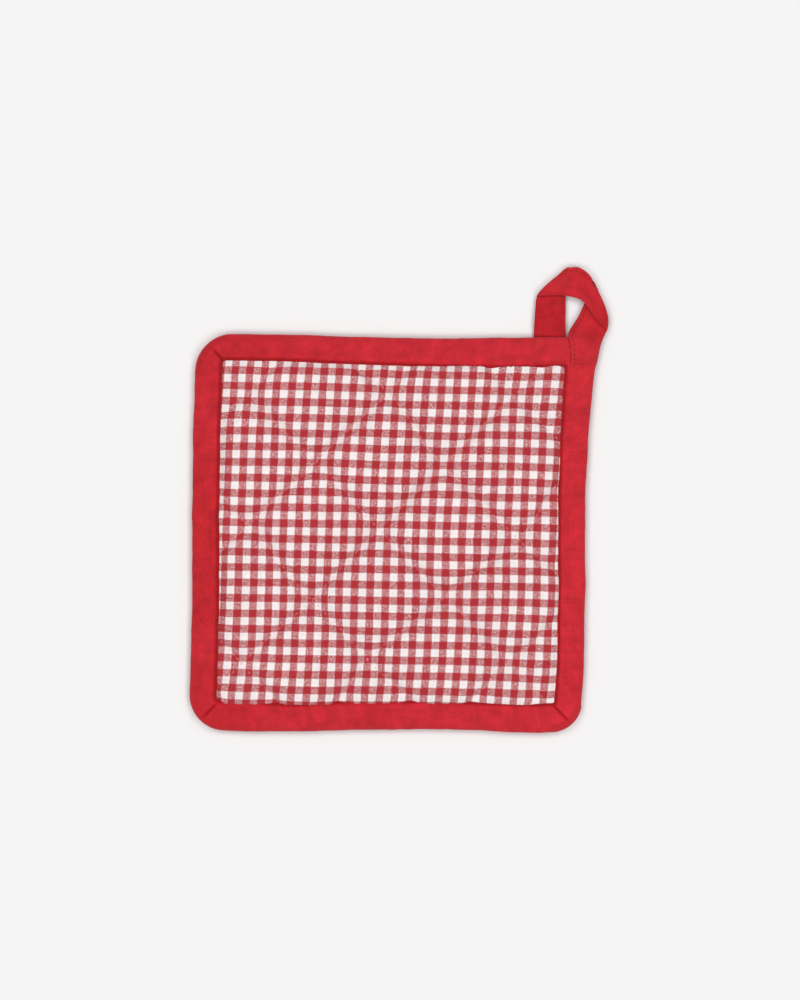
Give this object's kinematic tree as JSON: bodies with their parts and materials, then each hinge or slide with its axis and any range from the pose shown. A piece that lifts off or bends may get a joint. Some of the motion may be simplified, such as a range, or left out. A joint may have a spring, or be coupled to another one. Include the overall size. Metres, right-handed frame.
{
  "type": "quilted pot holder",
  "caption": "Square quilted pot holder with a gingham face, a bound edge with mitred corners and a hanging loop at one corner that swings about the top edge.",
  "frame": {"origin": "middle of the flat back face of the quilt", "axes": "+X to the right and +Y towards the looped top edge as seen from the front, +Z out of the gingham front"},
  "size_m": [0.2117, 0.236, 0.007],
  "materials": {
    "gingham": "plain-weave cotton gingham, red, pink and white checks of about 4 mm",
    "wadding": "needled cotton wadding, matte",
    "quilting_thread": "spun cotton sewing thread, matte",
    "red_tape": "plain-weave cotton binding tape, matte",
    "red_thread": "spun polyester sewing thread, faint sheen"
  },
  "bodies": {
    "pad": {"front_panel": "gingham", "wadding": "wadding", "back_panel": "gingham", "quilting_thread_front": "quilting_thread", "quilting_thread_back": "quilting_thread", "binding": "red_tape", "binding_thread_front": "red_thread", "binding_thread_back": "red_thread", "front_tape_end": "red_tape", "back_tape_end": "red_tape", "tack_thread": "red_thread"},
    "loop": {"hanging_loop": "red_tape", "loop_thread": "red_thread"}
  },
  "joints": [
    {"name": "loop_fold", "type": "hinge", "parent": "pad", "child": "loop", "pos_m": [0.092, 0.103, 0.0035], "axis": [1, 0, 0], "range_deg": [-90, 90]}
  ]
}
